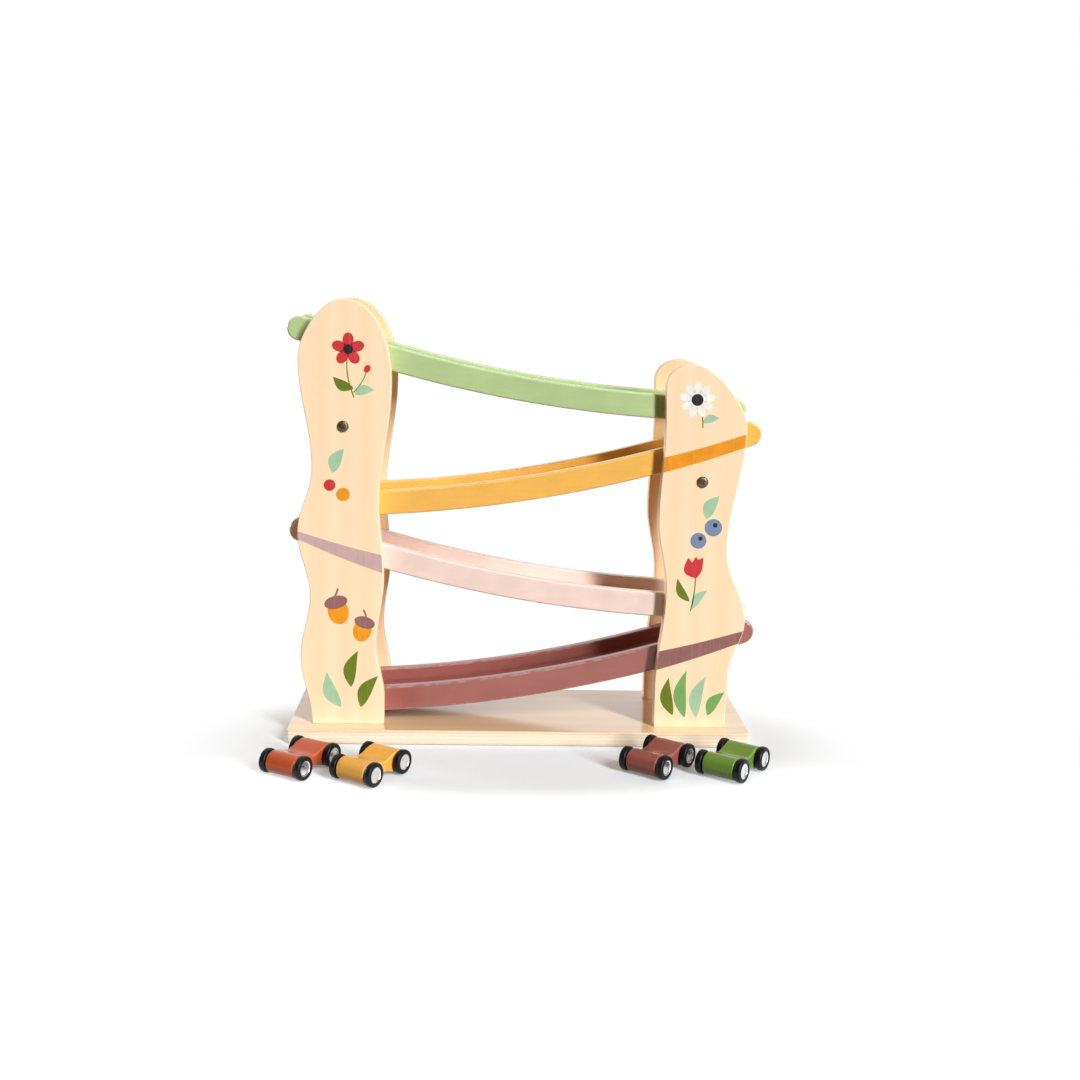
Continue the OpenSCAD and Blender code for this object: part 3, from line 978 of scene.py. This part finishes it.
def turned(points, x, z, turn):
    """Turns the points by turn degrees and moves them to x, z."""
    c, s = math.cos(math.radians(turn)), math.sin(math.radians(turn))
    return [(x + a * c - b * s, z + a * s + b * c) for a, b in points]


def ellipse(x, z, rx, rz, turn=0, steps=32):
    angles = [2 * math.pi * i / steps for i in range(steps)]
    return turned([(rx * math.cos(t), rz * math.sin(t)) for t in angles], x, z, turn)


def leaf(x, z, length, width, turn, steps=14, bend=0.12):
    """Leaf from its foot at x, z, pointing along turn degrees, with a slight bend."""
    upper, lower = [], []
    for i in range(steps + 1):
        t = i / steps
        half = width / 2 * math.sin(math.pi * t ** LEAF_SWELL)
        mid = bend * length * math.sin(math.pi * t)
        upper.append((t * length, mid + half))
        lower.append((t * length, mid - half))
    return turned(upper + lower[-2:0:-1], x, z, turn)


def ribbon(points, width):
    """Line of even width through the points."""
    left, right = [], []
    for i, (a, b) in enumerate(points):
        p = points[max(0, i - 1)]
        q = points[min(len(points) - 1, i + 1)]
        length = math.hypot(q[0] - p[0], q[1] - p[1])
        nx, nz = -(q[1] - p[1]) / length * width / 2, (q[0] - p[0]) / length * width / 2
        left.append((a + nx, b + nz))
        right.append((a - nx, b - nz))
    return left + right[::-1]


def stalk(x0, z0, x1, z1, bow, width=0.9, steps=10):
    points = []
    for i in range(steps + 1):
        t = i / steps
        points.append((x0 + (x1 - x0) * t + bow * math.sin(math.pi * t), z0 + (z1 - z0) * t))
    return ribbon(points, width)


def flat_reach(k, z):
    """Lowest and highest X of the flat part of a front panel at a height."""
    share = (z - BASE_T) / HEIGHTS[k]
    outer = TOWER_X + FOOT_W / 2 + wave_at(OUTER_WAVE[k], share) - EDGE_ROOM
    inner = TOWER_X - FOOT_W / 2 - wave_at(INNER_WAVE[k], share) + EDGE_ROOM
    return (-outer, -inner) if k == 0 else (inner, outer)


def stripe(k, x0, low0, high0, x1, low1, high1, sag, steps=16):
    """Band across a panel that carries on the line of a track, from one edge to the other."""
    def level(x, share):
        t = (x - x0) / (x1 - x0)
        low = low0 + (low1 - low0) * t
        high = high0 + (high1 - high0) * t
        return low + (high - low) * share - sag * math.sin(math.pi * min(1, max(0, t)))

    def end_point(share, which):
        x = x0 if which == 0 else x1
        for _ in range(EDGE_PASSES):
            x = flat_reach(k, level(x, share))[which]
        return (x, level(x, share))

    def line(share):
        a, b = end_point(share, 0)[0], end_point(share, 1)[0]
        across_x = [a + (b - a) * i / steps for i in range(steps + 1)]
        return [(x, level(x, share)) for x in across_x]

    shares = (0.2, 0.4, 0.6, 0.8)
    right = [end_point(s, 1) for s in shares]
    left = [end_point(s, 0) for s in reversed(shares)]
    return line(0) + right + line(1)[::-1] + left


def petals(x, z, count, out, long_r, wide_r, start):
    """Ring of oval petals whose middles lie out from the flower's heart."""
    found = []
    for i in range(count):
        turn = start + 360 * i / count
        t = math.radians(turn)
        found.append(ellipse(x + out * math.cos(t), z + out * math.sin(t), long_r, wide_r, turn))
    return found


def add_print(name, tone, shapes):
    """One ink of one print. shapes is [(layer, outline)]."""
    bm = bmesh.new()
    for layer, outline in shapes:
        add_plate(bm, outline, PRINT_Y - PRINT_T - LAYER_T * layer, PRINT_Y + PRINT_SINK, 0.0, in_xz)
    piece(name, bm, INKS[tone], "frame", smooth=False)


def add_stripes():
    left = stripe(0, -178.0, 163.9, 171.1, -113.2, 138.5, 153.5, 1.0)
    upper = stripe(1, 112.0, 224.2, 236.6, 178.5, 245.4, 256.2, 0.8)
    lower = stripe(1, 112.0, 59.9, 75.3, 180.3, 83.3, 92.8, 0.8)
    add_print("left_print_lilac", "lilac", [(0, left)])
    add_print("right_print_orange", "orange", [(0, upper)])
    add_print("right_print_mauve", "mauve", [(0, lower)])


def add_left_prints():
    """Poppy and bud near the crown, a leaf with two berries, two acorns, and leaves at the foot."""
    poppy = (-143.0, 322.0)
    add_print("left_print_stalks", "moss", [
        (0, stalk(-138.0, 283.0, *poppy, -3.0)),
        (0, stalk(-138.5, 287.0, -128.0, 304.0, 1.5, 0.8)),
        (1, leaf(-138.6, 290.0, 19.0, 8.4, 150)),
        (0, leaf(-139.0, 43.0, 31.0, 10.5, 80)),
        (0, leaf(-131.0, 26.0, 30.0, 11.0, 62)),
    ])
    bud = ellipse(-127.4, 306.4, 2.6, 3.4, -25)
    berry = ellipse(-157.5, 211.0, 4.8, 4.8)
    flower = [(1, p) for p in petals(*poppy, 5, 7.8, 5.8, 4.4, 18)]
    add_print("left_print_petals", "red", flower + [(1, bud), (0, berry)])
    add_print("left_print_hearts", "black", [(2, ellipse(*poppy, 4.0, 4.0))])
    add_print("left_print_sage", "sage", [
        (1, leaf(-137.4, 286.0, 16.0, 8.0, 12)),
        (0, leaf(-147.0, 26.0, 32.0, 11.0, 112)),
        (0, leaf(-155.0, 221.0, 22.0, 10.5, 66)),
    ])
    add_print("left_print_berries", "orange", [
        (0, ellipse(-146.5, 203.5, 5.6, 5.6)),
        (0, ellipse(-150.0, 106.5, 8.6, 11.0, 14)),
        (0, ellipse(-130.0, 91.0, 7.6, 9.8, -16)),
    ])
    add_print("left_print_caps", "mauve", [
        (1, ellipse(-151.9, 114.0, 9.7, 5.4, 14)),
        (1, ellipse(-128.2, 97.4, 8.6, 4.9, -16)),
        (0, stalk(-153.2, 118.6, -150.4, 125.5, 0.5, 1.6)),
        (0, stalk(-127.0, 101.6, -129.4, 108.0, 0.5, 1.5)),
    ])


def add_right_prints():
    """Daisy near the crown, a leaf with two blueberries, a tulip, and leaves at the foot."""
    daisy = (141.0, 285.0)
    add_print("right_print_stalks", "moss", [
        (0, stalk(146.0, 262.0, *daisy, 1.5)),
        (0, leaf(139.0, 118.0, 22.0, 7.0, 118)),
        (0, stalk(140.0, 110.0, 143.5, 141.0, 1.0)),
        (0, leaf(127.5, 22.0, 32.0, 10.0, 97)),
    ])
    add_print("right_print_petals", "white", [(1, p) for p in petals(*daisy, 9, 9.4, 5.4, 3.1, 10)])
    add_print("right_print_hearts", "black", [
        (2, ellipse(*daisy, 4.9, 4.9)),
        (1, ellipse(158.4, 182.0, 1.9, 1.9)),
        (1, ellipse(146.6, 170.8, 1.8, 1.8)),
    ])
    add_print("right_print_berries", "blue", [
        (0, ellipse(157.0, 180.0, 7.2, 7.2)),
        (0, ellipse(145.0, 169.0, 6.6, 6.6)),
    ])
    add_print("right_print_sage", "sage", [
        (0, leaf(151.0, 187.0, 22.0, 10.5, 62)),
        (0, leaf(141.5, 112.0, 20.0, 7.0, 52)),
        (0, leaf(147.0, 20.0, 36.0, 10.5, 78)),
        (1, leaf(146.0, 266.5, 14.0, 6.6, 16)),
    ])
    add_print("right_print_tulip", "red", [
        (1, leaf(143.2, 138.0, 18.0, 9.8, 70)),
        (2, leaf(143.8, 138.0, 18.0, 9.8, 112)),
        (3, leaf(143.5, 137.2, 18.6, 8.8, 90, bend=0.0)),
    ])
    add_print("right_print_leaf", "leaf", [
        (0, leaf(137.5, 20.0, 40.0, 10.5, 89)),
        (0, leaf(156.5, 22.0, 24.0, 9.4, 56)),
    ])


# Floor: places in metres, near and fade as shares of the reach

FLOOR_R = 8.0
FLOOR_SIDES = 96
FLOOR_BELOW = 0.0002
FLOOR_LIFT = 0.18
FRONT_LIFT = 0.45
FRONT_EDGE = -0.16
BACK_EDGE = -0.08
BEHIND_POWER = 4.0
FLOOR_BOUNCE = (96, 88, 76)
NEAR_BOUNCE = (168, 152, 128)
NEAR_FROM = 1.2
NEAR_TO = 2.2
FLOOR_SEEN = (219, 226, 235)
FADE_MIDDLE = (0.0, -0.05, 0.0)
FADE_REACH = (0.26, 0.14, 1.0)
FADE_FROM = 0.7
FADE_TO = 1.1
MIRROR_FROM = -0.9
MIRROR_TO = -0.35
ROOM_FRONT = 0.08


def floor_white():
    """Pale floor that keeps shadows. Far from the toy it is lifted in front and turns white behind."""
    ground = bpy.data.materials.new("floor_white")
    t = Nodes(ground)
    spot = t.spot()
    inside = t.node("ShaderNodeMapping", vector_type="TEXTURE")
    inside.inputs["Location"].default_value = FADE_MIDDLE
    inside.inputs["Scale"].default_value = FADE_REACH
    t.join(spot, inside.inputs["Vector"])
    length = t.node("ShaderNodeVectorMath", operation="LENGTH")
    t.join(inside.outputs[0], length.inputs[0])
    reach = length.outputs["Value"]
    depth = t.axes(spot)["Y"]
    seen = t.seen(t.span(depth, MIRROR_FROM, MIRROR_TO, ROOM_FRONT, 1.0, smooth=True))

    near = t.span(reach, NEAR_FROM, NEAR_TO, 0.0, 1.0, smooth=True)
    bounce = t.mix(near, colour(*NEAR_BOUNCE), colour(*FLOOR_BOUNCE))
    matt = t.node("ShaderNodeBsdfDiffuse")
    t.join(t.mix(seen, bounce, colour(*FLOOR_SEEN)), matt.inputs["Color"])

    fade = t.span(reach, FADE_FROM, FADE_TO, 0.0, 1.0, smooth=True)
    behind = t.span(depth, FRONT_EDGE, BACK_EDGE, 0.0, 1.0, smooth=True)
    fade_behind = t.maths("MULTIPLY", fade, behind)
    in_front = t.maths("SUBTRACT", 1.0, t.maths("POWER", behind, BEHIND_POWER))
    fade_front = t.maths("MULTIPLY", fade, in_front)
    lift = t.maths("ADD", t.maths("MULTIPLY", fade_front, FRONT_LIFT), FLOOR_LIFT)
    glow = t.node("ShaderNodeEmission")
    t.join(t.maths("MULTIPLY", seen, lift), glow.inputs["Strength"])
    lifted = t.node("ShaderNodeAddShader")
    t.join(matt.outputs[0], lifted.inputs[0])
    t.join(glow.outputs[0], lifted.inputs[1])

    white = t.filled("ShaderNodeEmission", Strength=1.0)
    mixed = t.node("ShaderNodeMixShader")
    t.join(t.maths("MULTIPLY", seen, fade_behind), mixed.inputs[0])
    t.join(lifted.outputs[0], mixed.inputs[1])
    t.join(white.outputs[0], mixed.inputs[2])
    t.join(mixed.outputs[0], t.node("ShaderNodeOutputMaterial").inputs["Surface"])
    return ground


def add_floor():
    bm = bmesh.new()
    bmesh.ops.create_circle(bm, cap_ends=True, segments=FLOOR_SIDES, radius=FLOOR_R)
    floor = link_scene("floor", mesh_from("floor", bm))
    floor.location = (0, 0, -FLOOR_BELOW)
    floor.data.materials.append(floor_white())


# Light

SKY = 0.26
SKY_LEFT = 0.18
SKY_BACK = 0.2
SKY_BACK_FULL = 0.7
SKY_TINT = (1.0, 0.74, 0.42, 1.0)
SKY_WHITE = (1.0, 1.0, 1.0, 1.0)
ROOM_EDGE = 0.3
KEY = 4.16
KEY_ANGLE = 9.0
KEY_AZIMUTH = 38.0
KEY_HEIGHTS = (13.0, 23.0, 33.0, 43.0)
RIM = 2.0
RIM_ANGLE = 16.0
RIM_AZIMUTH = 235.0
RIM_HEIGHT = 8.0
LAMP_DISTANCE = 2


def studio_world():
    """White to the eye, and a weak warm light from above, from the left and from behind."""
    world = bpy.data.worlds.new("studio")
    t = Nodes(world)
    way = t.axes(t.node("ShaderNodeTexCoord").outputs["Generated"])
    above = t.maths("POWER", t.maths("MAXIMUM", way["Z"], 0.0), 2.0)
    left = t.maths("POWER", t.maths("MINIMUM", way["X"], 0.0), 2.0)
    sky = t.maths("ADD", t.maths("MULTIPLY", above, SKY), t.maths("MULTIPLY", left, SKY_LEFT))
    sky = t.maths("ADD", sky, t.span(way["Y"], 0.0, SKY_BACK_FULL, 0.0, SKY_BACK, smooth=True))
    seen = t.seen(t.span(way["Y"], -ROOM_EDGE, ROOM_EDGE, ROOM_FRONT, 1.0, smooth=True))
    back = t.node("ShaderNodeBackground")
    t.join(t.mix(seen, SKY_TINT, SKY_WHITE), back.inputs["Color"])
    t.join(t.maths("MAXIMUM", seen, sky), back.inputs["Strength"])
    t.join(back.outputs[0], t.node("ShaderNodeOutputWorld").inputs["Surface"])
    return world


def add_lamp(name, energy, angle, azimuth, height):
    """Distant lamp. azimuth turns from the front to the right, height from the floor up, in degrees."""
    sun = bpy.data.lights.new(name, "SUN")
    sun.energy = energy
    sun.angle = math.radians(angle)
    lamp = link_scene(name, sun)
    azimuth, height = math.radians(azimuth), math.radians(height)
    level = math.cos(height)
    towards = Vector((math.sin(azimuth) * level, -math.cos(azimuth) * level, math.sin(height)))
    lamp.rotation_mode = "QUATERNION"
    lamp.rotation_quaternion = (-towards).to_track_quat("-Z", "Y")
    lamp.location = towards * LAMP_DISTANCE


# Camera: lens and frame in pixels of the photograph, place in millimetres, turns in radians

FOCAL = 1384.1
IMAGE_W = 1080
SENSOR_W = 36.0
SHIFT_X = 0.02374
SHIFT_Y = -0.12
CAMERA_AT = Vector((-28.46, -1163.81, 375.53))
YAW = 0.01836
PITCH = 0.09014
ROLL = 0.01612


def add_camera():
    data = bpy.data.cameras.new("camera")
    data.sensor_width = SENSOR_W
    data.lens = FOCAL / IMAGE_W * SENSOR_W
    data.shift_x = SHIFT_X
    data.shift_y = SHIFT_Y
    camera = link_scene("camera", data)
    level_right = Vector((math.cos(YAW), -math.sin(YAW), 0))
    level_ahead = Vector((math.sin(YAW), math.cos(YAW), 0))
    upright = Vector((0, 0, 1))
    ahead = level_ahead * math.cos(PITCH) - upright * math.sin(PITCH)
    above = level_ahead * math.sin(PITCH) + upright * math.cos(PITCH)
    right = level_right * math.cos(ROLL) + above * math.sin(ROLL)
    up = above * math.cos(ROLL) - level_right * math.sin(ROLL)
    turn = Matrix((right, up, -ahead)).transposed().to_4x4()
    camera.matrix_world = Matrix.Translation(CAMERA_AT * MM) @ turn
    bpy.context.scene.camera = camera


# The toy and its studio

add_base()
for tower in range(len(SIDES)):
    add_tower(tower)
for number in range(len(TRACKS)):
    add_track(number)
for tower in range(len(SIDES)):
    add_spacer(tower)
add_screws()
for car_name in CARS:
    add_car(car_name)
coat_node("base_screws", BRONZE)
coat_node("track_dowels", BAR_WOOD)
add_stripes()
add_left_prints()
add_right_prints()
add_floor()
bpy.context.scene.world = studio_world()
for key_height in KEY_HEIGHTS:
    add_lamp("key", KEY / len(KEY_HEIGHTS), KEY_ANGLE, KEY_AZIMUTH, key_height)
add_lamp("rim", RIM, RIM_ANGLE, RIM_AZIMUTH, RIM_HEIGHT)
add_camera()
bpy.context.scene.view_settings.view_transform = "Standard"

bpy.context.view_layer.update()
